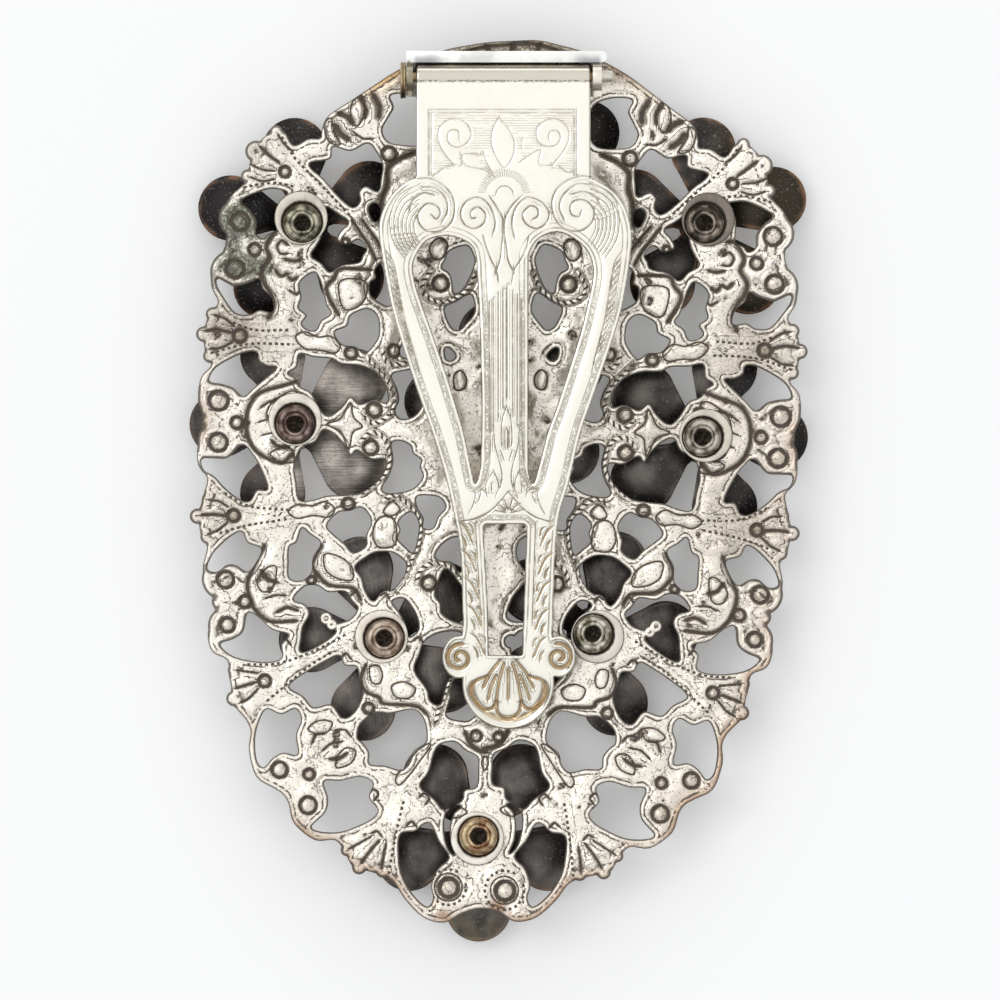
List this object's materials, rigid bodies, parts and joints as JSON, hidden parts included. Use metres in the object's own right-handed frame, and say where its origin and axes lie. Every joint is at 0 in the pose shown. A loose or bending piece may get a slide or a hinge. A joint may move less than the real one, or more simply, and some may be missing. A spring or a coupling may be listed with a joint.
{
  "type": "dress clip",
  "caption": "Pierced, domed metal dress clip with riveted flowers on its front and, on its back, a hinged, pierced lever that grips the edge of a garment.",
  "frame": {"origin": "bottom centre of the bounding box: the floor that the flowers' buttons rest on, under the middle of the clip", "axes": "+Y runs up the clip to the hinge, +Z comes up out of its back, through the lever, and +X runs to the right as its back is looked at"},
  "size_m": [0.052, 0.0758, 0.0091],
  "materials": {
    "plate": "worn nickel-silver plate on cast metal, with dark tarnish in the recesses and copper showing on worn rims",
    "flower": "dark gunmetal, satin brushed, with worn copper edges",
    "rivet": "dull copper and brass, darkened",
    "washer": "pale cream satin metal",
    "bracket": "bright silver plate",
    "pin": "tarnished brass",
    "lever": "bright engraved silver plate, with olive-yellow tarnish in the cuts"
  },
  "bodies": {
    "root": {"plate": "plate", "flower_1": "flower", "flower_2": "flower", "flower_3": "flower", "flower_4": "flower", "flower_5": "flower", "flower_6": "flower", "flower_7": "flower", "flower_8": "flower", "flower_9": "flower", "rivet_1": "rivet", "rivet_2": "rivet", "rivet_3": "rivet", "rivet_4": "rivet", "rivet_5": "rivet", "rivet_6": "rivet", "rivet_7": "rivet", "rivet_8": "rivet", "rivet_9": "rivet", "washer_1": "washer", "washer_2": "washer", "washer_3": "washer", "washer_4": "washer", "washer_5": "washer", "washer_6": "washer", "washer_7": "washer", "bracket": "bracket", "hinge_pin": "pin"},
    "lever": {"lever": "lever"}
  },
  "joints": [
    {"name": "lever_hinge", "type": "hinge", "parent": "root", "child": "lever", "pos_m": [0, 0.0349, 0.00755], "axis": [-1, 0, 0], "range_deg": [0, 90]}
  ]
}
